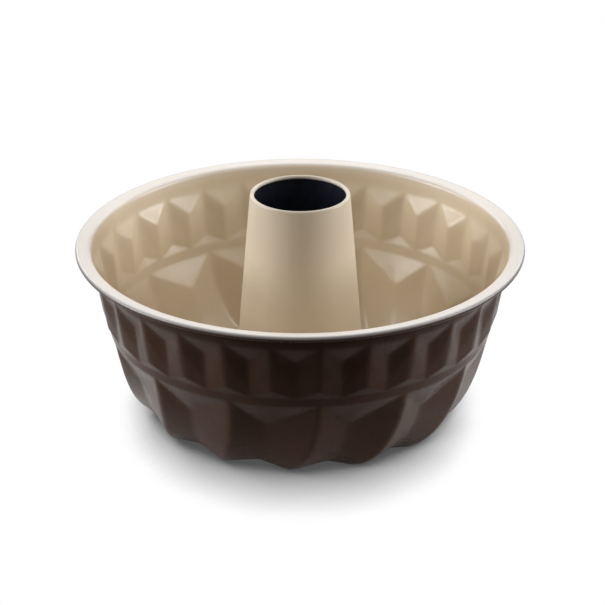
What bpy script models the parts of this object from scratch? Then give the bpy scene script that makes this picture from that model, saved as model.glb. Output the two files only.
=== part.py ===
"""A fluted tube pan for ring cakes: a pressed steel shell with swirling flutes, and a tapered tube in its hole.

Lengths are in metres and +Z is up. The pan stands on z = 0 with its axis on the Z axis.
Each sheet is drawn as the surface of one face and then given its thickness.
"""

import math

import bmesh
import bpy
from mathutils import Vector

# Sheet metal, and the play left in the folded seam
SHEET = 0.0005
SEAM_PLAY = 0.0003

# Rim: a flange that slopes down inwards, its edge curled under into a bead, and a rounded corner into the collar
RIM_RADIUS = 0.1242
RIM_HEIGHT = 0.1004
BEAD_RADIUS = 0.0016
BEAD_TURN = math.radians(270)
FLANGE_WIDTH = 0.0082
FLANGE_SLOPE = math.radians(8)
FLANGE_CORNER = 0.0025

# Collar: the plain wall under the flange
COLLAR_HEIGHT = 0.0115
COLLAR_TAPER = 0.0011

# Facet band: folds that point out lean in as they run down, and between them the sheet is folded in
FACET_FOLDS = 28
FACET_LEAN = math.radians(9.5)
FACET_HEIGHT = 0.0268
FACET_TIP_DROP = 0.0100
FACET_TIP_INSET = 0.0034

# Ring: the plain step under the facets
RING_DROP = 0.0050
RING_INSET = 0.0016
RING_HEIGHT = 0.0053
RING_LEAN = math.radians(12)

# Flutes: a ridge under every second outward fold, and a valley that starts lower, at a pointed tip.
# A steepness is the share of a fold's height over which it keeps the lean of its top.
RIDGE_LEAN = math.radians(11)
RIDGE_SWIRL = math.radians(2.4)
RIDGE_CURL = math.radians(-15)
RIDGE_STEEPNESS = 1 / 3
VALLEY_TIP_DROP = 0.0152
VALLEY_TIP_INSET = 0.0052
VALLEY_TIP_TURN = math.radians(10.2)
VALLEY_SWIRL = math.radians(-1.9)
VALLEY_CURL = math.radians(-5.7)
VALLEY_STEEPNESS = 1 / 2
VALLEY_LIFT = 0.0037
FOLD_WIDTH = 0.0024

# Bottom: how far in the feet stand from the ring, their flat length, and the floor's rise to the neck
FOOT_INSET = 0.0300
FOOT_SWEEP = 0.0200
VALLEY_FOOT_SWEEP = 0.0100
FOOT_LENGTH = 0.0080
FLOOR_TURN = math.radians(-10)
NECK_HEIGHT = 0.0090
NECK_LENGTH = 0.0050
NECK_CORNER = 0.0015

# Centre tube: a cone with a rolled lip, a lap seam up its inner side, and a hem folded round the neck
TUBE_RISE = 0.0276
TUBE_TOP_RADIUS = 0.0276
TUBE_FOOT_RADIUS = 0.0381
LIP_RADIUS = 0.00115
LIP_TURN = math.radians(270)
LAP_WIDTH = 0.0050
LAP_DIRECTION = math.radians(10)
HEM_HEIGHT = 0.0032

# Direction of the first ridge, and the fineness of the surfaces
FIRST_RIDGE = math.radians(-84.7)
BEAD_STEPS = 6
CORNER_STEPS = 2
FLUTE_ROWS = 5
FLOOR_ROWS = 3
TUBE_SIDES = 54
WALL_ROWS = 4
LAP_STEP = 0.0002

# Turns past which an edge shows as a crease: between flat facets, and on the rolled edges
FOLD_CREASE = math.radians(8)
ROLL_CREASE = math.radians(50)

# The columns of points round the shell: for each outward fold, its two sides and the inward fold after it
FOLD_COLUMNS = 3
FLUTE_COLUMNS = 2 * FOLD_COLUMNS

# Values that follow from those above
FLUTES = FACET_FOLDS // 2
PITCH = 2 * math.pi / FLUTES
COLLAR_TOP_RADIUS = RIM_RADIUS - FLANGE_WIDTH
COLLAR_RADIUS = COLLAR_TOP_RADIUS - COLLAR_TAPER
COLLAR_LEVEL = RIM_HEIGHT - COLLAR_HEIGHT
FACET_TIP_LEVEL = COLLAR_LEVEL - FACET_TIP_DROP
FACET_LEVEL = COLLAR_LEVEL - FACET_HEIGHT
RING_TOP_LEVEL = FACET_LEVEL - RING_DROP
RING_LEVEL = RING_TOP_LEVEL - RING_HEIGHT


def outward_fold_radius(level):
    """Radius of the folds that point out, at a height in the facet band."""
    return COLLAR_RADIUS - (COLLAR_LEVEL - level) * math.tan(FACET_LEAN)


RING_TOP_RADIUS = outward_fold_radius(RING_TOP_LEVEL) - RING_INSET
RING_RADIUS = RING_TOP_RADIUS - RING_HEIGHT * math.tan(RING_LEAN)
FOOT_RADIUS = RING_RADIUS - FOOT_INSET

TUBE_TOP = RIM_HEIGHT + TUBE_RISE
NECK_END = NECK_HEIGHT - NECK_LENGTH
TUBE_FOOT = NECK_END - SEAM_PLAY


def tube_radius(level):
    """Outer radius of the tube's cone at a height."""
    share = (level - TUBE_FOOT) / (TUBE_TOP - TUBE_FOOT)
    return TUBE_FOOT_RADIUS + share * (TUBE_TOP_RADIUS - TUBE_FOOT_RADIUS)


def neck_radius(level):
    """Radius of the neck's outer face, which follows the tube inside it."""
    return tube_radius(level) + SEAM_PLAY + SHEET


def point(radius, angle, level):
    return Vector((radius * math.cos(angle), radius * math.sin(angle), level))


def mix(a, b, share):
    return a + (b - a) * share


def bezier(ends, share):
    """A point of the cubic curve through four control values."""
    a, b, c, d = ends
    rest = 1 - share
    return a * rest**3 + 3 * b * share * rest**2 + 3 * c * share**2 * rest + d * share**3


def arc(centre, radius, start, turn, steps):
    """Profile points (radius, height) along an arc, angles counted from outwards towards up."""
    found = []
    for i in range(steps + 1):
        angle = start + turn * i / steps
        found.append((centre[0] + radius * math.cos(angle), centre[1] + radius * math.sin(angle)))
    return found


def rim_profile():
    """The outer face of the sheet from the bead's free edge, along the flange, down to the collar's foot."""
    inner = BEAD_RADIUS - SHEET
    hollow = FLANGE_CORNER - SHEET
    bead_radius = RIM_RADIUS - BEAD_RADIUS
    bead_level = RIM_HEIGHT - BEAD_RADIUS
    corner_radius = COLLAR_TOP_RADIUS + hollow
    fall = (bead_radius - corner_radius) * math.tan(FLANGE_SLOPE) + (hollow - inner) / math.cos(FLANGE_SLOPE)
    bead = arc((bead_radius, bead_level), inner, math.pi / 2 - BEAD_TURN, BEAD_TURN + FLANGE_SLOPE, BEAD_STEPS)
    corner = arc((corner_radius, bead_level - fall), hollow, math.pi / 2 + FLANGE_SLOPE, math.pi / 2 - FLANGE_SLOPE,
                 CORNER_STEPS)
    return bead + corner + [(COLLAR_RADIUS, COLLAR_LEVEL)]


def upright_angles(radius):
    """Six columns for each flute: an outward fold's two sides, the inward fold, and the same again."""
    half = FOLD_WIDTH / 2 / radius
    found = []
    for k in range(FLUTES):
        ridge = FIRST_RIDGE + k * PITCH
        middle = ridge + PITCH / 2
        found += [ridge - half, ridge + half, ridge + PITCH / 4]
        found += [middle - half, middle + half, middle + PITCH / 4]
    return found


def circle_row(radius, level):
    return [point(radius, angle, level) for angle in upright_angles(radius)]


def facet_row(level, inward_radius):
    """A row through the facet band, with its inward folds at their own radius."""
    outward = outward_fold_radius(level)
    row = []
    for i, angle in enumerate(upright_angles(outward)):
        inward = i % FOLD_COLUMNS == FOLD_COLUMNS - 1
        row.append(point(inward_radius if inward else outward, angle, level))
    return row


def ridge_at(share):
    """Radius, turn and height of a ridge, from the ring (0) to its foot (1)."""
    drop = RING_LEVEL * RIDGE_STEEPNESS
    radius = bezier((RING_RADIUS, RING_RADIUS - drop * math.tan(RIDGE_LEAN), FOOT_RADIUS + FOOT_SWEEP,
                     FOOT_RADIUS), share)
    level = bezier((RING_LEVEL, RING_LEVEL - drop, 0, 0), share)
    return radius, RIDGE_SWIRL * share + RIDGE_CURL * share**2, level


def valley_at(share):
    """Radius, turn and height of a valley, from its pointed tip (0) to its foot (1)."""
    tip_level = RING_LEVEL - VALLEY_TIP_DROP
    tip_radius = RING_RADIUS - VALLEY_TIP_DROP * math.tan(RIDGE_LEAN) - VALLEY_TIP_INSET
    drop = (tip_level - VALLEY_LIFT) * VALLEY_STEEPNESS
    radius = bezier((tip_radius, tip_radius - drop * math.tan(RIDGE_LEAN), FOOT_RADIUS + VALLEY_FOOT_SWEEP,
                     FOOT_RADIUS), share)
    level = bezier((tip_level, tip_level - drop, VALLEY_LIFT, VALLEY_LIFT), share)
    return radius, VALLEY_TIP_TURN + VALLEY_SWIRL * share + VALLEY_CURL * share**2, level


def fold_sides(fold, base):
    """The two edges of a fold's narrow land."""
    radius, turn, level = fold
    half = FOLD_WIDTH / 2 / radius
    return [point(radius, base + turn - half, level), point(radius, base + turn + half, level)]


def folded_row(ridge, valley):
    """A row across the flutes: each fold's two sides, and the middles of the flat facets between them."""
    lands = []
    for k in range(FLUTES):
        base = FIRST_RIDGE + k * PITCH
        lands.append(fold_sides(ridge, base) + fold_sides(valley, base))
    row = []
    for k, land in enumerate(lands):
        following = lands[(k + 1) % FLUTES]
        row += land[:2] + [mix(land[1], land[2], 0.5)] + land[2:] + [mix(land[3], following[0], 0.5)]
    return row


def tip_row(ridge, ring_row, lower_row):
    """The row half way down the big triangles, whose slanting folds run from each ridge's top to a valley's tip."""
    row = []
    for k in range(FLUTES):
        own = FLUTE_COLUMNS * k
        after = FLUTE_COLUMNS * ((k + 1) % FLUTES)
        row += fold_sides(ridge, FIRST_RIDGE + k * PITCH)
        row.append(mix(ring_row[own + 1], lower_row[own + 3], 0.5))
        row += [mix(ring_row[own + 3], lower_row[own + 3], 0.5), mix(ring_row[own + 4], lower_row[own + 4], 0.5)]
        row.append(mix(lower_row[own + 4], ring_row[after], 0.5))
    return row


def floor_rows():
    """The bottom from the flat feet inwards, up to the neck, while the folds fade out."""
    ridge_turn = ridge_at(1)[1]
    valley_turn = valley_at(1)[1]
    start = FOOT_RADIUS - FOOT_LENGTH
    hollow = NECK_CORNER - SHEET
    end = neck_radius(NECK_HEIGHT) + hollow
    rows = [folded_row((start, ridge_turn, 0), (start, valley_turn, VALLEY_LIFT))]
    for i in range(1, FLOOR_ROWS + 1):
        share = i / FLOOR_ROWS
        rise = (1 - math.cos(math.pi * share)) / 2
        radius = mix(start, end, share)
        turn = FLOOR_TURN * share
        ridge = (radius, ridge_turn + turn, mix(0, NECK_HEIGHT, rise))
        valley = (radius, valley_turn + turn, mix(VALLEY_LIFT, NECK_HEIGHT, rise))
        rows.append(folded_row(ridge, valley))
    rows[-1] = [on_circle(spot, end, NECK_HEIGHT) for spot in rows[-1]]
    return rows


def on_circle(spot, radius, level):
    """The same direction from the axis, at another radius and height."""
    return point(radius, math.atan2(spot.y, spot.x), level)


def neck_rows(last_floor_row):
    hollow = NECK_CORNER - SHEET
    top = NECK_HEIGHT - hollow
    profile = arc((neck_radius(top) + hollow, top), hollow, math.pi / 2, math.pi / 2, CORNER_STEPS)[1:]
    profile.append((neck_radius(NECK_END), NECK_END))
    return [[on_circle(spot, radius, level) for spot in last_floor_row] for radius, level in profile]


def shell_rows():
    """All rows of the shell's outer face, from the bead's free edge to the neck's end, and the flutes' first row."""
    rows = [circle_row(radius, level) for radius, level in rim_profile()]
    inward_tip = outward_fold_radius(FACET_TIP_LEVEL) - FACET_TIP_INSET
    fall = (FACET_TIP_LEVEL - FACET_LEVEL) / (FACET_TIP_LEVEL - RING_TOP_LEVEL)
    rows.append(facet_row(FACET_TIP_LEVEL, inward_tip))
    rows.append(facet_row(FACET_LEVEL, mix(inward_tip, RING_TOP_RADIUS, fall)))
    rows.append(circle_row(RING_TOP_RADIUS, RING_TOP_LEVEL))
    ring_row = circle_row(RING_RADIUS, RING_LEVEL)
    first_flute_row = len(rows)
    rows.append(ring_row)
    first = VALLEY_TIP_DROP / RING_LEVEL
    level_with_tip = folded_row(ridge_at(first), valley_at(0))
    rows.append(tip_row(ridge_at(first / 2), ring_row, level_with_tip))
    rows.append(level_with_tip)
    for i in range(1, FLUTE_ROWS + 1):
        share = i / FLUTE_ROWS
        rows.append(folded_row(ridge_at(mix(first, 1, share)), valley_at(share)))
    rows += floor_rows()
    rows += neck_rows(rows[-1])
    return rows, first_flute_row


def falls_forward(column, fluted):
    """True where a cell's fold runs down in the direction of the columns.

    In the facet band each fold runs down to the inward folds, and in the flutes to the valleys.
    """
    if fluted:
        return column % FLUTE_COLUMNS < FOLD_COLUMNS
    return column % FOLD_COLUMNS < FOLD_COLUMNS - 1


def new_object(name, data, materials, folded_below):
    """An object shaded smooth, with creases at its sharper edges, and at gentler ones below a height."""
    data.normal_update()
    for face in data.faces:
        face.smooth = True
    for edge in data.edges:
        folded = max(corner.co.z for corner in edge.verts) <= folded_below
        edge.smooth = edge.calc_face_angle(0) < (FOLD_CREASE if folded else ROLL_CREASE)
    mesh = bpy.data.meshes.new(name)
    data.to_mesh(mesh)
    data.free()
    for material in materials:
        mesh.materials.append(material)
    made = bpy.data.objects.new(name, mesh)
    bpy.context.scene.collection.objects.link(made)
    return made


def coat(name, colour, roughness, metallic):
    material = bpy.data.materials.new(name)
    material.use_nodes = True
    surface = material.node_tree.nodes["Principled BSDF"]
    surface.inputs["Base Color"].default_value = (*colour, 1)
    surface.inputs["Roughness"].default_value = roughness
    surface.inputs["Metallic"].default_value = metallic
    material.diffuse_color = (*colour, 1)
    return material


def fluted_shell(outside, inside):
    """The pressed shell: its outer face is laid out in rows, and Solidify adds the sheet on the inner side."""
    rows, first_flute_row = shell_rows()
    data = bmesh.new()
    grid = [[data.verts.new(spot) for spot in row] for row in rows]
    columns = len(grid[0])
    for r in range(len(grid) - 1):
        for c in range(columns):
            d = (c + 1) % columns
            upper, lower = grid[r], grid[r + 1]
            if falls_forward(c, r >= first_flute_row):
                data.faces.new((upper[c], lower[c], lower[d]))
                data.faces.new((upper[c], lower[d], upper[d]))
            else:
                data.faces.new((upper[c], lower[c], upper[d]))
                data.faces.new((upper[d], lower[c], lower[d]))
    shell = new_object("fluted_shell", data, (outside, inside), mix(COLLAR_LEVEL, RIM_HEIGHT, 0.5))
    sheet = shell.modifiers.new("sheet", "SOLIDIFY")
    sheet.thickness = SHEET
    sheet.offset = -1
    sheet.use_even_offset = True
    sheet.use_quality_normals = True
    sheet.material_offset = 1
    return shell


def tube_profile():
    """The tube's outer face (radius, height): the rolled lip, the cone, and the hem up the neck's outer face."""
    lip = arc((TUBE_TOP_RADIUS - LIP_RADIUS, TUBE_TOP - LIP_RADIUS), LIP_RADIUS, LIP_TURN, -LIP_TURN, BEAD_STEPS)
    profile = list(lip)
    start = TUBE_TOP - LIP_RADIUS
    for i in range(1, WALL_ROWS + 1):
        level = mix(start, TUBE_FOOT, i / WALL_ROWS)
        profile.append((tube_radius(level), level))
    hem_top = TUBE_FOOT + HEM_HEIGHT
    for level in (TUBE_FOOT, hem_top):
        profile.append((neck_radius(level) + SEAM_PLAY, level))
    return profile


def offset_profile(profile, distance):
    """The profile moved to its right-hand side by a distance, with its corners kept sharp."""
    spots = [Vector(spot) for spot in profile]
    sides = []
    for a, b in zip(spots, spots[1:]):
        along = (b - a).normalized()
        sides.append(Vector((along.y, -along.x)))
    found = []
    for i, spot in enumerate(spots):
        before = sides[max(i - 1, 0)]
        after = sides[min(i, len(sides) - 1)]
        corner = (before + after).normalized()
        found.append(spot + corner * distance / corner.dot(after))
    return found


def centre_tube(outside, inside):
    """The tube: a closed profile carried round the axis, and thicker on its inner side along the lap."""
    outer = tube_profile()
    inner = offset_profile(outer, SHEET)
    doubled = offset_profile(outer, 2 * SHEET)
    lip_end = BEAD_STEPS + 1
    lapped = range(lip_end, lip_end + WALL_ROWS - 1)
    lap_edge = LAP_WIDTH / 2 + LAP_STEP
    arcs = [-LAP_WIDTH / 2, 0, LAP_WIDTH / 2]
    data = bmesh.new()
    columns = []
    for c in range(len(arcs) + TUBE_SIDES):
        thick = c < len(arcs)
        loop = []
        for i, (radius, level) in enumerate(outer):
            loop.append((radius, level, radius))
        for i in reversed(range(len(inner))):
            spot = doubled[i] if thick and i in lapped else inner[i]
            loop.append((spot.x, spot.y, outer[i][0]))
        column = []
        for radius, level, round_radius in loop:
            if thick:
                angle = LAP_DIRECTION + arcs[c] / round_radius
            else:
                edge = lap_edge / round_radius
                share = (c - len(arcs)) / (TUBE_SIDES - 1)
                angle = LAP_DIRECTION + mix(edge, 2 * math.pi - edge, share)
            column.append(data.verts.new(point(radius, angle, level)))
        columns.append(column)
    points = len(columns[0])
    dark_from = len(outer)
    for c, column in enumerate(columns):
        following = columns[(c + 1) % len(columns)]
        for i in range(points):
            j = (i + 1) % points
            face = data.faces.new((column[i], column[j], following[j], following[i]))
            face.material_index = 1 if i >= dark_from else 0
    return new_object("centre_tube", data, (outside, inside), 0)


def clear_scene():
    for old in list(bpy.data.objects):
        bpy.data.objects.remove(old)


def main():
    clear_scene()
    cream = coat("cream_coat", (0.76, 0.66, 0.52), 0.42, 0.0)
    brown = coat("brown_coat", (0.070, 0.042, 0.032), 0.38, 0.25)
    dark = coat("dark_coat", (0.012, 0.012, 0.016), 0.45, 0.0)
    fluted_shell(brown, cream)
    centre_tube(cream, dark)


main()
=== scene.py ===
import math

import bmesh
import bpy
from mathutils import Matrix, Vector


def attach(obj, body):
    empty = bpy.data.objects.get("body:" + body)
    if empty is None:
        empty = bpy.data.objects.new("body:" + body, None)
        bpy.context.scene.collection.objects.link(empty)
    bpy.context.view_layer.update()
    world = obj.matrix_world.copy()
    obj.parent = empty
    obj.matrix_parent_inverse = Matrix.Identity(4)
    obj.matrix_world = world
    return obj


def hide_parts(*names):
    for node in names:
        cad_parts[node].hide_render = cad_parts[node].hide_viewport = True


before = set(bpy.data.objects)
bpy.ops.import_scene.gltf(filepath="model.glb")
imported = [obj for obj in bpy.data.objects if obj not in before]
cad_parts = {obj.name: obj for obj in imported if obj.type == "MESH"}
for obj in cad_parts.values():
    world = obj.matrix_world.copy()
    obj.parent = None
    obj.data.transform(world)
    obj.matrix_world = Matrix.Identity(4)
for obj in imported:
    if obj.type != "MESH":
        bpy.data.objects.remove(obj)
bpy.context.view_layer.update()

# Sizes of the pan, in metres, as in its CAD model
SHEET = 0.0005
SEAM_PLAY = 0.0003
RIM_RADIUS = 0.1242
RIM_HEIGHT = 0.1004
BEAD_RADIUS = 0.0016
FLANGE_WIDTH = 0.0082
FLANGE_SLOPE = math.radians(8)
FLANGE_CORNER = 0.0025
COLLAR_HEIGHT = 0.0115
COLLAR_TAPER = 0.0011
FACET_LEAN = math.radians(9.5)
FACET_HEIGHT = 0.0268
FACET_TIP_DROP = 0.0100
FACET_TIP_INSET = 0.0034
RING_DROP = 0.0050
RING_INSET = 0.0016
RING_HEIGHT = 0.0053
RING_LEAN = math.radians(12)
FLUTES = 14
FIRST_RIDGE = math.radians(-84.7)
RIDGE_LEAN = math.radians(11)
RIDGE_SWIRL = math.radians(2.4)
RIDGE_CURL = math.radians(-15)
RIDGE_STEEPNESS = 1 / 3
VALLEY_TIP_DROP = 0.0152
VALLEY_TIP_INSET = 0.0052
VALLEY_TIP_TURN = math.radians(10.2)
VALLEY_SWIRL = math.radians(-1.9)
VALLEY_CURL = math.radians(-5.7)
VALLEY_STEEPNESS = 1 / 2
VALLEY_LIFT = 0.0037
FOLD_WIDTH = 0.0024
FOOT_INSET = 0.0300
FOOT_SWEEP = 0.0200
VALLEY_FOOT_SWEEP = 0.0100
FOOT_LENGTH = 0.0080
FLOOR_TURN = math.radians(-10)
NECK_HEIGHT = 0.0090
NECK_LENGTH = 0.0050
NECK_CORNER = 0.0015
TUBE_RISE = 0.0276
TUBE_TOP_RADIUS = 0.0276
TUBE_FOOT_RADIUS = 0.0381
LIP_RADIUS = 0.00115
THREE_QUARTERS = math.radians(270)
LAP_WIDTH = 0.0050
LAP_DIRECTION = math.radians(10)
LAP_EDGE = 0.00025
LAP_GROOVE = 0.00018
HEM_HEIGHT = 0.0032

PITCH = 2 * math.pi / FLUTES
COLLAR_RADIUS = RIM_RADIUS - FLANGE_WIDTH - COLLAR_TAPER
COLLAR_LEVEL = RIM_HEIGHT - COLLAR_HEIGHT
FACET_TIP_LEVEL = COLLAR_LEVEL - FACET_TIP_DROP
FACET_LEVEL = COLLAR_LEVEL - FACET_HEIGHT
RING_TOP_LEVEL = FACET_LEVEL - RING_DROP
RING_LEVEL = RING_TOP_LEVEL - RING_HEIGHT
TUBE_TOP = RIM_HEIGHT + TUBE_RISE
NECK_END = NECK_HEIGHT - NECK_LENGTH
TUBE_FOOT = NECK_END - SEAM_PLAY


def fold_radius(level):
    """How far from the axis the outer folds of the facets' band lie."""
    return COLLAR_RADIUS - (COLLAR_LEVEL - level) * math.tan(FACET_LEAN)


RING_TOP_RADIUS = fold_radius(RING_TOP_LEVEL) - RING_INSET
RING_RADIUS = RING_TOP_RADIUS - RING_HEIGHT * math.tan(RING_LEAN)
FOOT_RADIUS = RING_RADIUS - FOOT_INSET


def tube_radius(level):
    share = (level - TUBE_FOOT) / (TUBE_TOP - TUBE_FOOT)
    return TUBE_FOOT_RADIUS + share * (TUBE_TOP_RADIUS - TUBE_FOOT_RADIUS)


def neck_radius(level):
    """The neck stands round the tube, with the seam's play between them."""
    return tube_radius(level) + SEAM_PLAY + SHEET


def spot(radius, angle, level):
    """A point from its distance to the axis, its direction and its height."""
    return Vector((radius * math.cos(angle), radius * math.sin(angle), level))


def mix(a, b, share):
    return a + (b - a) * share


def curve(ends, share):
    """A point of the cubic curve through four control values."""
    a, b, c, d = ends
    rest = 1 - share
    return a * rest**3 + 3 * b * share * rest**2 + 3 * c * share**2 * rest + d * share**3


def arc(centre, radius, start, turn, steps):
    """Points (radius, height) along an arc, angles counted from outwards towards up."""
    angles = [start + turn * i / steps for i in range(steps + 1)]
    return [(centre[0] + radius * math.cos(a), centre[1] + radius * math.sin(a)) for a in angles]


# One flute of the shell is laid out as rows of seven spots, the last being the next flute's first.
# Between the spots the sheet is flat, or bent round the axis where the row is a true circle.
# The shares below say where the fine lines run across one of the six cells of a row, or down to the next row.
LAND = (0, 0.5, 1)
FACET = (0, 0.04, 0.21, 0.4, 0.6, 0.79, 0.96, 1)
BAND = (0, 0.1, 0.5, 0.9, 1)
CELLS = (LAND, FACET, FACET) * 2
STRAIGHT = (0, 1)

# How finely the curved parts are stepped
BEAD_STEPS = 12
CORNER_STEPS = 4
FLUTE_STEPS = 24
FOOT_STEPS = 4
FLOOR_STEPS = 10
LIP_STEPS = 24
CONE_STEPS = 16
HEM_STEPS = 8
TUBE_COLUMNS = 132

# How the folds are softened: how many passes, how far off a fold its nearest fine lines run, and how much
# less the ring is softened than the rest
SOFTENING_PASSES = 2
FOLD_REACH = 0.0006
RING_SOFTNESS = 0.4

# Points of neighbouring flutes that are nearer than this are one point
JOINING_DISTANCE = 0.00002


def even(steps):
    """Shares from nought to one in even steps."""
    return [i / steps for i in range(steps + 1)]


def upright(radius):
    """The seven directions of a row whose folds stand upright: two ridges with a narrow land, two valleys."""
    half = FOLD_WIDTH / 2 / radius
    middle = FIRST_RIDGE + PITCH / 2
    return [FIRST_RIDGE - half, FIRST_RIDGE + half, FIRST_RIDGE + PITCH / 4,
            middle - half, middle + half, middle + PITCH / 4, FIRST_RIDGE + PITCH - half]


def circle(radius, level):
    return [spot(radius, angle, level) for angle in upright(radius)]


def facets(level, inward):
    """A row of the facets' band, with its valleys at the inward radius."""
    outward = fold_radius(level)
    angles = upright(outward)
    return [spot(inward if i in (2, 5) else outward, angle, level) for i, angle in enumerate(angles)]


def ridge(share):
    """A flute's ridge from the ring (0) down to the foot (1): distance from the axis, turn and height."""
    drop = RING_LEVEL * RIDGE_STEEPNESS
    radius = curve((RING_RADIUS, RING_RADIUS - drop * math.tan(RIDGE_LEAN), FOOT_RADIUS + FOOT_SWEEP,
                    FOOT_RADIUS), share)
    turn = RIDGE_SWIRL * share + RIDGE_CURL * share**2
    return radius, turn, curve((RING_LEVEL, RING_LEVEL - drop, 0, 0), share)


def valley(share):
    """A flute's valley from the big triangle's tip (0) down to the foot (1), as ridge gives it."""
    tip_level = RING_LEVEL - VALLEY_TIP_DROP
    tip_radius = RING_RADIUS - VALLEY_TIP_DROP * math.tan(RIDGE_LEAN) - VALLEY_TIP_INSET
    drop = (tip_level - VALLEY_LIFT) * VALLEY_STEEPNESS
    radius = curve((tip_radius, tip_radius - drop * math.tan(RIDGE_LEAN), FOOT_RADIUS + VALLEY_FOOT_SWEEP,
                    FOOT_RADIUS), share)
    turn = VALLEY_TIP_TURN + VALLEY_SWIRL * share + VALLEY_CURL * share**2
    return radius, turn, curve((tip_level, tip_level - drop, VALLEY_LIFT, VALLEY_LIFT), share)


def land(fold, turned=0):
    """The two spots of the narrow land along a fold."""
    radius, turn, level = fold
    half = FOLD_WIDTH / 2 / radius
    middle = FIRST_RIDGE + turned + turn
    return [spot(radius, middle - half, level), spot(radius, middle + half, level)]


def folded(high, low):
    """A row across a flute: ridge land, middle of the facet, valley land, middle of the next facet."""
    first, second, third = land(high), land(low), land(high, PITCH)
    return first + [mix(first[1], second[0], 0.5)] + second + [mix(second[1], third[0], 0.5), third[0]]


def half_way(high, ring, lower):
    """The row through the slanting folds of the big triangles, half way down them."""
    left, right = lower[3], lower[4]
    beside_left = [mix(ring[1], left, 0.5), mix(ring[3], left, 0.5)]
    beside_right = [mix(ring[4], right, 0.5), mix(right, ring[6], 0.5)]
    return land(high) + beside_left + beside_right + [land(high, PITCH)[0]]


def round_row(row, radius, level):
    """A row's directions on a true circle."""
    return [spot(radius, math.atan2(p.y, p.x), level) for p in row]


def flute_rows():
    """Rows of one flute from the bead's free edge down to the neck's end. Each gives its spots, whether it is
    round, the steps to the next row, how far its folds are softened, and whether they run with the flutes."""
    rows = []

    def add(row, rounded, steps, soft, fluted=False):
        rows.append((row, rounded, steps, soft, fluted))

    inner = BEAD_RADIUS - SHEET
    hollow = FLANGE_CORNER - SHEET
    centre = RIM_RADIUS - BEAD_RADIUS
    corner_radius = RIM_RADIUS - FLANGE_WIDTH + hollow
    fall = (centre - corner_radius) * math.tan(FLANGE_SLOPE) + (hollow - inner) / math.cos(FLANGE_SLOPE)
    bead = arc((centre, RIM_HEIGHT - BEAD_RADIUS), inner, math.pi / 2 - THREE_QUARTERS,
               THREE_QUARTERS + FLANGE_SLOPE, BEAD_STEPS)
    for radius, level in bead[:-1]:
        add(circle(radius, level), True, STRAIGHT, 0)
    add(circle(*bead[-1]), True, BAND, 0)
    corner = arc((corner_radius, RIM_HEIGHT - BEAD_RADIUS - fall), hollow, math.pi / 2 + FLANGE_SLOPE,
                 math.pi / 2 - FLANGE_SLOPE, CORNER_STEPS)
    for radius, level in corner[:-1]:
        add(circle(radius, level), True, STRAIGHT, 0)
    add(circle(*corner[-1]), True, BAND, 0)
    add(circle(COLLAR_RADIUS, COLLAR_LEVEL), True, FACET, 1)
    tip = fold_radius(FACET_TIP_LEVEL) - FACET_TIP_INSET
    down = (FACET_TIP_LEVEL - FACET_LEVEL) / (FACET_TIP_LEVEL - RING_TOP_LEVEL)
    add(facets(FACET_TIP_LEVEL, tip), False, FACET, 1)
    add(facets(FACET_LEVEL, mix(tip, RING_TOP_RADIUS, down)), False, FACET, 1)
    add(circle(RING_TOP_RADIUS, RING_TOP_LEVEL), True, BAND, RING_SOFTNESS)
    ring = circle(RING_RADIUS, RING_LEVEL)
    add(ring, True, FACET, RING_SOFTNESS, True)
    first = VALLEY_TIP_DROP / RING_LEVEL
    with_tip = folded(ridge(first), valley(0))
    add(half_way(ridge(first / 2), ring, with_tip), False, FACET, 1, True)
    for share in even(FLUTE_STEPS)[:-1]:
        add(folded(ridge(mix(first, 1, share)), valley(share)), False, STRAIGHT, 1, True)
    foot = folded(ridge(1), valley(1))
    add(foot, False, even(FOOT_STEPS), 1, True)
    start = FOOT_RADIUS - FOOT_LENGTH
    neck_hollow = NECK_CORNER - SHEET
    end = neck_radius(NECK_HEIGHT) + neck_hollow
    for share in even(FLOOR_STEPS):
        rise = (1 - math.cos(math.pi * share)) / 2
        radius = mix(start, end, share)
        turn = FLOOR_TURN * share
        high = (radius, ridge(1)[1] + turn, mix(0, NECK_HEIGHT, rise))
        low = (radius, valley(1)[1] + turn, mix(VALLEY_LIFT, NECK_HEIGHT, rise))
        row = folded(high, low)
        if share == 1:
            row = round_row(row, end, NECK_HEIGHT)
        add(row, share == 1, STRAIGHT, min(1, 2 * (1 - share)), True)
    top = NECK_HEIGHT - neck_hollow
    neck_corner = arc((neck_radius(top) + neck_hollow, top), neck_hollow, math.pi / 2, math.pi / 2, CORNER_STEPS)
    for radius, level in neck_corner[1:]:
        add(round_row(row, radius, level), True, STRAIGHT, 0, True)
    add(round_row(row, neck_radius(NECK_END), NECK_END), True, STRAIGHT, 0, True)
    return rows


def bulge(a, b, share):
    """How far a circle's arc between two spots stands off its chord."""
    first, second = math.atan2(a.y, a.x), math.atan2(b.y, b.x)
    turn = (second - first + math.pi) % (2 * math.pi) - math.pi
    radius = mix(a.xy.length, b.xy.length, share)
    return spot(radius, first + turn * share, mix(a.z, b.z, share)) - mix(a, b, share)


def in_cell(upper, lower, s, t, forward):
    """A spot of a cell that is folded along one diagonal, from a share along it and a share down it."""
    a, b = upper
    c, d = lower
    if forward:
        return a + (c - a) * t + (d - c) * s if t >= s else a + (b - a) * s + (d - b) * t
    return a + (b - a) * s + (c - a) * t if s + t <= 1 else d + (c - d) * (1 - s) + (b - d) * (1 - t)


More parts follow.
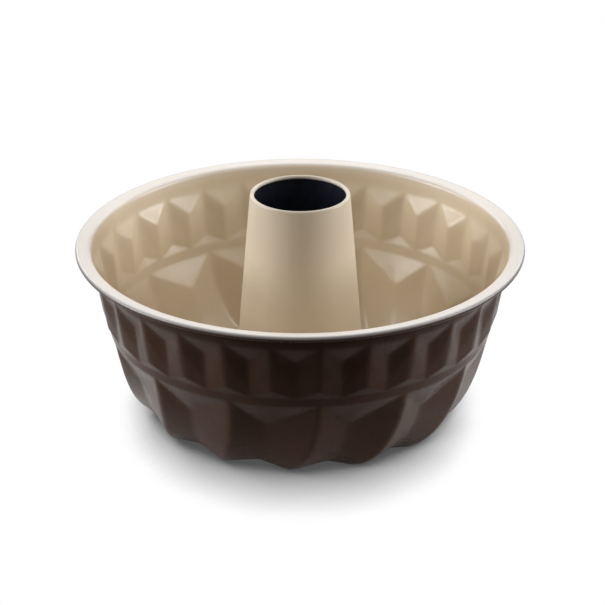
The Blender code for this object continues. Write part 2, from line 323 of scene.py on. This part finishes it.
def by_the_fold(upper, lower, shares, downs, i, j, forward):
    """The spot of a cell's inner grid. The lines on either side of the fold are drawn close to it."""
    s, t = shares[i], downs[j]
    place = in_cell(upper, lower, s, t, forward)
    last = len(shares) - 1
    off = i - j if forward else i + j - last
    if len(downs) != len(shares) or abs(off) != 1 or 0 in (i, j) or last in (i, j):
        return place
    middle = (s + t) / 2 if forward else (s + 1 - t) / 2
    fold = in_cell(upper, lower, middle, middle if forward else 1 - middle, forward)
    away = place - fold
    return fold + away * min(1, FOLD_REACH / away.length)


def flute_sheet():
    """The fine sheet of one flute, as a mesh whose points know how far they may be softened."""
    rows = flute_rows()
    data = bmesh.new()
    soft_layer = data.verts.layers.float.new("softened")
    lines = []
    for number, (row, rounded, steps, soft, fluted) in enumerate(rows):
        last = number == len(rows) - 1
        below, below_round, below_soft = (row, rounded, soft) if last else (
            rows[number + 1][0], rows[number + 1][1], rows[number + 1][3])
        for j, t in enumerate([0] if last else steps[:-1]):
            line = []
            ways = []
            for c, cell in enumerate(CELLS):
                forward = c < 3 if fluted else c % 3 < 2
                for i, s in enumerate(cell if c == len(CELLS) - 1 else cell[:-1]):
                    place = by_the_fold(row[c:c + 2], below[c:c + 2], cell, steps, i, j, forward)
                    if rounded:
                        place = place + bulge(row[c], row[c + 1], s) * (1 - t)
                    if below_round:
                        place = place + bulge(below[c], below[c + 1], s) * t
                    made = data.verts.new(place)
                    made[soft_layer] = mix(soft, below_soft, t)
                    line.append(made)
                    ways.append(forward)
            lines.append((line, ways))
    for (upper, ways), following in zip(lines, lines[1:]):
        lower = following[0]
        for c in range(len(upper) - 1):
            d = c + 1
            if ways[c]:
                data.faces.new((upper[c], lower[c], lower[d]))
                data.faces.new((upper[c], lower[d], upper[d]))
            else:
                data.faces.new((upper[c], lower[c], upper[d]))
                data.faces.new((upper[d], lower[c], lower[d]))
    mesh = bpy.data.meshes.new("one flute")
    data.to_mesh(mesh)
    data.free()
    return mesh


def join(tree, kind, inputs=None, **settings):
    """Adds a node, sets its choices, and fills its inputs with values or with other nodes' outputs."""
    node = tree.nodes.new(kind)
    for name, value in settings.items():
        setattr(node, name, value)
    for name, value in (inputs or {}).items():
        socket = node.inputs[name]
        if isinstance(value, bpy.types.NodeSocket):
            tree.links.new(value, socket)
        else:
            socket.default_value = value
    return node


def round_the_axis():
    """Node tree: repeats one flute round the axis, joins the repeats and softens their folds."""
    tree = bpy.data.node_groups.new("flutes round the axis", "GeometryNodeTree")
    tree.interface.new_socket(name="Geometry", in_out="OUTPUT", socket_type="NodeSocketGeometry")
    for name, kind in (("Geometry", "Geometry"), ("Flutes", "Int"), ("Joining distance", "Float"),
                       ("Softening passes", "Int"), ("Coat", "Material")):
        tree.interface.new_socket(name=name, in_out="INPUT", socket_type="NodeSocket" + kind)
    given = tree.nodes.new("NodeGroupInput").outputs
    count = given["Flutes"]
    places = join(tree, "GeometryNodePoints", {"Count": count})
    number = join(tree, "GeometryNodeInputIndex")
    pitch = join(tree, "ShaderNodeMath", {0: 2 * math.pi, 1: count}, operation="DIVIDE")
    turn = join(tree, "ShaderNodeMath", {0: number.outputs[0], 1: pitch.outputs[0]}, operation="MULTIPLY")
    turned = join(tree, "ShaderNodeCombineXYZ", {"Z": turn.outputs[0]})
    rotation = join(tree, "FunctionNodeEulerToRotation", {"Euler": turned.outputs[0]})
    flutes = join(tree, "GeometryNodeInstanceOnPoints", {
        "Points": places.outputs[0], "Instance": given["Geometry"], "Rotation": rotation.outputs[0]})
    real = join(tree, "GeometryNodeRealizeInstances", {"Geometry": flutes.outputs[0]})
    merged = join(tree, "GeometryNodeMergeByDistance", {
        "Geometry": real.outputs[0], "Distance": given["Joining distance"]})
    soft = join(tree, "GeometryNodeInputNamedAttribute", {"Name": "softened"}, data_type="FLOAT")
    place = join(tree, "GeometryNodeInputPosition")
    blur = join(tree, "GeometryNodeBlurAttribute", {
        "Value": place.outputs[0], "Iterations": given["Softening passes"], "Weight": soft.outputs[0]},
        data_type="FLOAT_VECTOR")
    softened = join(tree, "GeometryNodeSetPosition", {
        "Geometry": merged.outputs[0], "Position": blur.outputs[0]})
    again = join(tree, "GeometryNodeRealizeInstances", {"Geometry": softened.outputs[0]})
    coated = join(tree, "GeometryNodeSetMaterial", {
        "Geometry": again.outputs[0], "Material": given["Coat"]})
    join(tree, "NodeGroupOutput", {0: coated.outputs[0]})
    return tree


def new_object(name, mesh):
    made = bpy.data.objects.new(name, mesh)
    bpy.context.scene.collection.objects.link(made)
    return made


def settle(piece):
    """Turns a piece with its modifiers into plain mesh."""
    bpy.context.view_layer.update()
    seen = bpy.context.evaluated_depsgraph_get()
    plain = bpy.data.meshes.new_from_object(piece.evaluated_get(seen), depsgraph=seen)
    piece.modifiers.clear()
    piece.data = plain


def shade(mesh, crease):
    """Smooth shading, with creases where the sheet's edges turn sharply."""
    data = bmesh.new()
    data.from_mesh(mesh)
    for face in data.faces:
        face.smooth = True
    for edge in data.edges:
        edge.smooth = edge.calc_face_angle(0) < crease
    data.to_mesh(mesh)
    data.free()


def pressed_shell(outside, inside):
    """The shell: one flute repeated round the axis, then given its wall. The bead's underside is given the
    outside's brown coat."""
    shell = new_object("pressed_shell", flute_sheet())
    tree = round_the_axis()
    sockets = {item.name: item.identifier for item in tree.interface.items_tree if item.in_out == "INPUT"}
    repeat = shell.modifiers.new("flutes round the axis", "NODES")
    repeat.node_group = tree
    repeat[sockets["Flutes"]] = FLUTES
    repeat[sockets["Joining distance"]] = JOINING_DISTANCE
    repeat[sockets["Softening passes"]] = SOFTENING_PASSES
    repeat[sockets["Coat"]] = outside
    settle(shell)
    shell.data.materials.clear()
    shell.data.materials.append(outside)
    shell.data.materials.append(inside)
    sheet = shell.modifiers.new("sheet", "SOLIDIFY")
    sheet.thickness = SHEET
    sheet.offset = -1
    sheet.use_even_offset = True
    sheet.use_quality_normals = True
    sheet.material_offset = 1
    settle(shell)
    for face in shell.data.polygons:
        low = face.center.z < RIM_HEIGHT - BEAD_RADIUS
        if low and face.center.xy.length > RIM_RADIUS - 2 * BEAD_RADIUS:
            face.material_index = 0
    shade(shell.data, math.radians(60))
    return shell


def rolled_tube(outside, inside):
    """The tube: a closed profile carried round the axis, with the lap's second layer on its inner side."""
    lip = arc((TUBE_TOP_RADIUS - LIP_RADIUS, TUBE_TOP - LIP_RADIUS), LIP_RADIUS, THREE_QUARTERS,
              -THREE_QUARTERS, LIP_STEPS)
    start = TUBE_TOP - LIP_RADIUS
    fold = (neck_radius(TUBE_FOOT) + SEAM_PLAY - tube_radius(TUBE_FOOT)) / 2
    levels = [mix(start, TUBE_FOOT + fold, share) for share in even(CONE_STEPS)[1:]]
    cone = [(tube_radius(level), level) for level in levels]
    foot = arc((cone[-1][0] + fold, cone[-1][1]), fold, math.pi, math.pi, HEM_STEPS)[1:]
    hem_top = TUBE_FOOT + HEM_HEIGHT
    hem_levels = (mix(foot[-1][1], hem_top, 0.5), hem_top)
    hem = [(neck_radius(level) + SEAM_PLAY, level) for level in hem_levels]
    outer = [Vector(p) for p in lip + cone + foot + hem]
    sides = []
    for a, b in zip(outer, outer[1:]):
        along = (b - a).normalized()
        sides.append(Vector((along.y, -along.x)))
    ways = []
    for i in range(len(outer)):
        before, after = sides[max(i - 1, 0)], sides[min(i, len(sides) - 1)]
        corner = (before + after).normalized()
        ways.append(corner / corner.dot(after))
    lapped = range(len(lip) + 1, len(lip) + len(cone) - 1)
    data = bmesh.new()
    grid = []
    for angle, thick, groove in lap_columns():
        column = []
        for i, p in enumerate(outer):
            shift = groove if i in lapped else 0
            place = p + ways[i] * shift
            column.append(data.verts.new(spot(place.x, LAP_DIRECTION + angle, place.y)))
        for i in reversed(range(len(outer))):
            depth = SHEET * (1 + thick) if i in lapped else SHEET
            place = outer[i] + ways[i] * depth
            column.append(data.verts.new(spot(place.x, LAP_DIRECTION + angle, place.y)))
        grid.append(column)
    points = len(grid[0])
    for c, column in enumerate(grid):
        following = grid[(c + 1) % len(grid)]
        for i in range(points):
            j = (i + 1) % points
            face = data.faces.new((column[i], column[j], following[j], following[i]))
            face.material_index = 1 if i >= len(outer) else 0
    mesh = bpy.data.meshes.new("rolled_tube")
    data.to_mesh(mesh)
    data.free()
    mesh.materials.append(outside)
    mesh.materials.append(inside)
    tube = new_object("rolled_tube", mesh)
    shade(mesh, math.radians(50))
    return tube


def lap_columns():
    """Directions round the tube, from the lap's middle: the angle, whether the second layer is there, and the
    depth of the line that the lap's edge leaves on the outer side."""
    half = LAP_WIDTH / 2 / TUBE_FOOT_RADIUS
    step = LAP_EDGE / TUBE_FOOT_RADIUS
    columns = [(-half - step, 0, 0), (-half, 1, 0), (-half / 2, 1, 0), (0, 1, 0), (half / 2, 1, 0)]
    columns += [(half - step, 1, 0), (half, 1, LAP_GROOVE), (half + step, 0, 0)]
    rest = 2 * math.pi - 2 * half - 2 * step
    for i in range(1, TUBE_COLUMNS):
        columns.append((half + step + rest * i / TUBE_COLUMNS, 0, 0))
    return columns


def coat(name, colour, roughness, specular):
    """A new material with a plain shader. Gives its node tree, its shader and the Object coordinates too."""
    material = bpy.data.materials.new(name)
    material.use_nodes = True
    tree = material.node_tree
    shader = tree.nodes["Principled BSDF"]
    shader.inputs["Base Color"].default_value = (*colour, 1)
    shader.inputs["Roughness"].default_value = roughness
    shader.inputs["Specular IOR Level"].default_value = specular
    place = join(tree, "ShaderNodeTexCoord").outputs["Object"]
    return material, tree, shader, place


def noise(tree, place, scale, detail=2.0, roughness=0.5):
    return join(tree, "ShaderNodeTexNoise", {
        "Vector": place, "Scale": scale, "Detail": detail, "Roughness": roughness}).outputs["Fac"]


def span(tree, value, low, high, from_low=0.3, from_high=0.7):
    """A value's range mapped to another one, and held at its ends. Noise mostly lies between 0.3 and 0.7."""
    return join(tree, "ShaderNodeMapRange", {
        "Value": value, "From Min": from_low, "From Max": from_high, "To Min": low, "To Max": high}).outputs[0]


def worked(tree, sum_kind, *values):
    """One sum with one or two values or sockets, such as MULTIPLY."""
    return join(tree, "ShaderNodeMath", dict(enumerate(values)), operation=sum_kind).outputs[0]


def blend(tree, share, a, b):
    """A colour between two colours or colour sockets."""
    node = join(tree, "ShaderNodeMix", {0: share}, data_type="RGBA")
    for socket, value in ((node.inputs[6], a), (node.inputs[7], b)):
        if isinstance(value, bpy.types.NodeSocket):
            tree.links.new(value, socket)
        else:
            socket.default_value = (*value, 1)
    return node.outputs[2]


def bumped(tree, height, distance, strength, under=None):
    inputs = {"Height": height, "Distance": distance, "Strength": strength}
    if under:
        inputs["Normal"] = under
    return join(tree, "ShaderNodeBump", inputs).outputs[0]


def brown_shades(tree, place):
    """Colour of the brown coat: faint clouds and a fine lighter grain."""
    clouds = span(tree, noise(tree, place, 35, 3), 0, 1)
    colour = blend(tree, clouds, (0.062, 0.033, 0.0215), (0.072, 0.038, 0.0255))
    flakes = span(tree, noise(tree, place, 3200, 1), 0, 0.8, 0.60, 0.78)
    return blend(tree, flakes, colour, (0.122, 0.076, 0.053))


def axis_radius(tree, place):
    """How far a place is from the pan's axis."""
    flat = join(tree, "ShaderNodeVectorMath", {0: place, 1: (1, 1, 0)}, operation="MULTIPLY").outputs[0]
    return join(tree, "ShaderNodeVectorMath", {0: flat}, operation="LENGTH").outputs["Value"]


def below_bead(tree, place):
    """One on the lower half of the rim's bead, where the cream turns to the brown colour over a soft line, else
    nought.
    """
    outer = span(tree, axis_radius(tree, place), 0, 1, RIM_RADIUS - 0.0030, RIM_RADIUS - 0.0020)
    middle = RIM_HEIGHT - BEAD_RADIUS
    height = join(tree, "ShaderNodeSeparateXYZ", {0: place}).outputs["Z"]
    low = span(tree, height, 1, 0, middle + 0.0004, middle + 0.0013)
    return worked(tree, "MULTIPLY", outer, low)


def cream_coat():
    """Satin cream coat: faint clouds, fine specks, orange peel. Painted light makes it paler on the tube and the
    flange, painted shade makes it greyer along the bead's edge, and it turns to the brown colour on the bead's
    lower half."""
    material, tree, shader, place = coat("cream_coat", (0.63, 0.54, 0.41), 0.34, 0.6)
    clouds = span(tree, noise(tree, place, 28, 3), 0, 1)
    colour = blend(tree, clouds, (0.63, 0.515, 0.36), (0.67, 0.555, 0.40))
    specks = span(tree, noise(tree, place, 2600, 1), 0, 0.35, 0.62, 0.75)
    colour = blend(tree, specks, colour, (0.54, 0.44, 0.31))
    radius = axis_radius(tree, place)
    # Painted light: the tube is made paler and less warm than the shell's inside, as if under whiter light.
    painted_tube_light = span(tree, radius, 1, 0, TUBE_FOOT_RADIUS, TUBE_FOOT_RADIUS + 0.0006)
    colour = blend(tree, painted_tube_light, colour, (0.65, 0.565, 0.445))
    # Painted light: the flange is made paler and whiter, as where it is strongly lit and reflects the white
    # surroundings.
    flange = span(tree, radius, 0, 1, RIM_RADIUS - 0.0092, RIM_RADIUS - 0.0075)
    colour = blend(tree, flange, colour, (0.76, 0.705, 0.645))
    # Painted shade: the bead's rounded outer edge is made greyer, as where it turns away from the lamps.
    edge = span(tree, radius, 0, 1, RIM_RADIUS - 0.0022, RIM_RADIUS - 0.0002)
    colour = blend(tree, edge, colour, (0.34, 0.325, 0.325))
    colour = blend(tree, below_bead(tree, place), colour, brown_shades(tree, place))
    tree.links.new(colour, shader.inputs["Base Color"])
    smears = noise(tree, place, 90, 4, 0.6)
    tree.links.new(span(tree, smears, 0.30, 0.40), shader.inputs["Roughness"])
    peel = bumped(tree, noise(tree, place, 650, 2), 0.00004, 0.35)
    grain = bumped(tree, noise(tree, place, 2600, 1), 0.00001, 0.5, peel)
    tree.links.new(grain, shader.inputs["Normal"])
    return material


def brown_coat():
    """Satin brown coat with a fine lighter grain and orange peel."""
    material, tree, shader, place = coat("brown_coat", (0.067, 0.036, 0.024), 0.29, 0.11)
    shader.inputs["Specular Tint"].default_value = (0.22, 0.11, 0.07, 1)
    tree.links.new(brown_shades(tree, place), shader.inputs["Base Color"])
    smears = noise(tree, place, 110, 4, 0.6)
    tree.links.new(span(tree, smears, 0.25, 0.33), shader.inputs["Roughness"])
    peel = bumped(tree, noise(tree, place, 700, 2), 0.00004, 0.4)
    grain = bumped(tree, noise(tree, place, 3200, 1), 0.00001, 0.6, peel)
    tree.links.new(grain, shader.inputs["Normal"])
    return material


def dark_coat():
    """The near-black, slightly blue satin surface inside the tube, with a painted highlight along the lap's edge
    near the mouth.
    """
    material, tree, shader, place = coat("dark_coat", (0.010, 0.012, 0.022), 0.40, 0.5)
    clouds = span(tree, noise(tree, place, 60, 3), 0, 1)
    colour = blend(tree, clouds, (0.008, 0.010, 0.018), (0.014, 0.016, 0.028))
    parts = join(tree, "ShaderNodeSeparateXYZ", {0: place}).outputs
    around = worked(tree, "ARCTAN2", parts["Y"], parts["X"])
    # Painted highlight: a lighter broken line down the lap's edge near the mouth.
    lap = LAP_DIRECTION + LAP_WIDTH / 2 / TUBE_TOP_RADIUS
    off = worked(tree, "ABSOLUTE", worked(tree, "SUBTRACT", around, lap))
    line = span(tree, off, 1, 0, 0.012, 0.040)
    upper = span(tree, parts["Z"], 0, 1, TUBE_TOP - 0.011, TUBE_TOP - 0.006)
    broken = span(tree, noise(tree, place, 1500, 2), 0, 1, 0.4, 0.6)
    painted_lap_highlight = worked(tree, "MULTIPLY", worked(tree, "MULTIPLY", line, upper), broken)
    colour = blend(tree, painted_lap_highlight, colour, (0.22, 0.22, 0.24))
    tree.links.new(colour, shader.inputs["Base Color"])
    tree.links.new(span(tree, noise(tree, place, 300, 3), 0.34, 0.5), shader.inputs["Roughness"])
    tree.links.new(bumped(tree, noise(tree, place, 900, 2), 0.00003, 0.4), shader.inputs["Normal"])
    return material


def camera_rays(tree):
    """One for rays that should see the white background, nought for the light that falls on the pan."""
    path = join(tree, "ShaderNodeLightPath").outputs
    shiny = worked(tree, "MAXIMUM", path["Is Camera Ray"], path["Is Glossy Ray"])
    return worked(tree, "MAXIMUM", shiny, path["Is Transmission Ray"])


# The white board under the pan throws light up at its flutes; the floor beyond it only looks white
BOARD_RADIUS = 0.16
BOARD_FADE = 0.03

# The shadow on the floor: how far it looks for the pan above, what share of open sky is fully dark, and what
# share is fully white in front of and behind the pan, and beside it. At the axis it has no front or side.
SHADOW_REACH = 0.045
SHADOW_DARK = 0.185
SHADOW_WHITE_AHEAD = 0.965
SHADOW_WHITE_BESIDE = 0.55
AXIS_FADE = (0.05, 0.09)

LAMP_DISTANCE = 1.4
LAMP_AIM = Vector((0, 0, 0.06))

# The photograph's camera, in metres and in pixels of the photograph
PHOTO_PIXELS = 605
FOCAL_PIXELS = 2043.83
SHIFT_PIXELS = 2.39
SENSOR_WIDTH = 36
CAMERA_ELEVATION = math.radians(25.2044)
CAMERA_DISTANCE = 1.14976
CAMERA_TARGET = 0.06155


def studio():
    """The floor, the pale surroundings and the lamps."""
    world = bpy.data.worlds.new("studio")
    bpy.context.scene.world = world
    world.use_nodes = True
    tree = world.node_tree
    background = tree.nodes["Background"]
    tree.links.new(span(tree, camera_rays(tree), 0.05, 1.0, 0, 1), background.inputs["Strength"])
    background.inputs["Color"].default_value = (1, 1, 1, 1)

    data = bmesh.new()
    bmesh.ops.create_grid(data, x_segments=1, y_segments=1, size=6)
    mesh = bpy.data.meshes.new("floor")
    data.to_mesh(mesh)
    data.free()
    floor = new_object("floor", mesh)
    material, tree, shader, place = coat("pale floor", (0.2, 0.2, 0.2), 0.9, 0.0)
    distance = join(tree, "ShaderNodeVectorMath", {0: place}, operation="LENGTH").outputs["Value"]
    board = blend(tree, noise(tree, place, 3, 2), (0.78, 0.78, 0.78), (0.82, 0.82, 0.82))
    beyond = span(tree, distance, 0, 1, BOARD_RADIUS, BOARD_RADIUS + BOARD_FADE)
    tree.links.new(blend(tree, beyond, board, (0.02, 0.02, 0.02)), shader.inputs["Base Color"])
    direction = join(tree, "ShaderNodeVectorMath", {0: place}, operation="NORMALIZE").outputs["Vector"]
    across = join(tree, "ShaderNodeSeparateXYZ", {0: direction}).outputs["X"]
    across = worked(tree, "MULTIPLY", across, span(tree, distance, 0, 1, *AXIS_FADE))
    sideways = worked(tree, "MULTIPLY", across, across)
    open_sky = join(tree, "ShaderNodeAmbientOcclusion", {
        "Distance": SHADOW_REACH, "Normal": (0, 0.3, 0.954)}, samples=16).outputs["AO"]
    white = span(tree, sideways, SHADOW_WHITE_AHEAD, SHADOW_WHITE_BESIDE, 0, 1)
    lit = span(tree, open_sky, 0, 1, SHADOW_DARK, white)
    shade = join(tree, "ShaderNodeEmission", {"Color": blend(tree, lit, (0.08, 0.08, 0.08), (1, 1, 1))})
    seen = join(tree, "ShaderNodeMixShader", {
        0: camera_rays(tree), 1: shader.outputs[0], 2: shade.outputs[0]})
    tree.links.new(seen.outputs[0], tree.nodes["Material Output"].inputs["Surface"])
    mesh.materials.append(material)

    lamp("left softbox", -78, 32, 0.6, 0.6, 8)
    lamp("right softbox", 84, 34, 0.6, 0.8, 7.5)
    lamp("low left softbox", -90, 10, 0.6, 0.3, 8)
    lamp("low right softbox", 92, 10, 0.6, 0.3, 7.5)
    lamp("left back softbox", -145, 33, 0.5, 0.8, 7)
    lamp("right back softbox", 147, 36, 0.5, 0.8, 6.7)
    lamp("back softbox", 180, 40, 0.6, 0.5, 1.9)


def lamp(name, azimuth, elevation, width, height, power):
    """A soft lamp aimed at the pan. Azimuth 0 is in front of it, 90 to the right of the view."""
    light = bpy.data.lights.new(name, "AREA")
    light.shape = "RECTANGLE"
    light.size = width
    light.size_y = height
    light.energy = power
    made = new_object(name, light)
    around, up = math.radians(azimuth - 90), math.radians(elevation)
    away = Vector((math.cos(around) * math.cos(up), math.sin(around) * math.cos(up), math.sin(up)))
    made.location = LAMP_AIM + LAMP_DISTANCE * away
    made.rotation_euler = away.to_track_quat("Z", "Y").to_euler()


def photo_camera():
    """The camera where the photograph was taken from, at its viewing angle."""
    data = bpy.data.cameras.new("camera")
    data.sensor_width = SENSOR_WIDTH
    data.lens = FOCAL_PIXELS / PHOTO_PIXELS * SENSOR_WIDTH
    data.shift_x = SHIFT_PIXELS / PHOTO_PIXELS
    made = new_object("camera", data)
    back, up = math.cos(CAMERA_ELEVATION), math.sin(CAMERA_ELEVATION)
    made.location = (0, -CAMERA_DISTANCE * back, CAMERA_TARGET + CAMERA_DISTANCE * up)
    made.rotation_euler = (math.pi / 2 - CAMERA_ELEVATION, 0, 0)
    bpy.context.scene.camera = made


photo_camera()
studio()
cream = cream_coat()
brown = brown_coat()
dark = dark_coat()

shell = pressed_shell(brown, cream)
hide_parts("fluted_shell")
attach(shell, "root")

tube = rolled_tube(cream, dark)
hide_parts("centre_tube")
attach(tube, "root")

bpy.context.scene.view_settings.view_transform = "Standard"
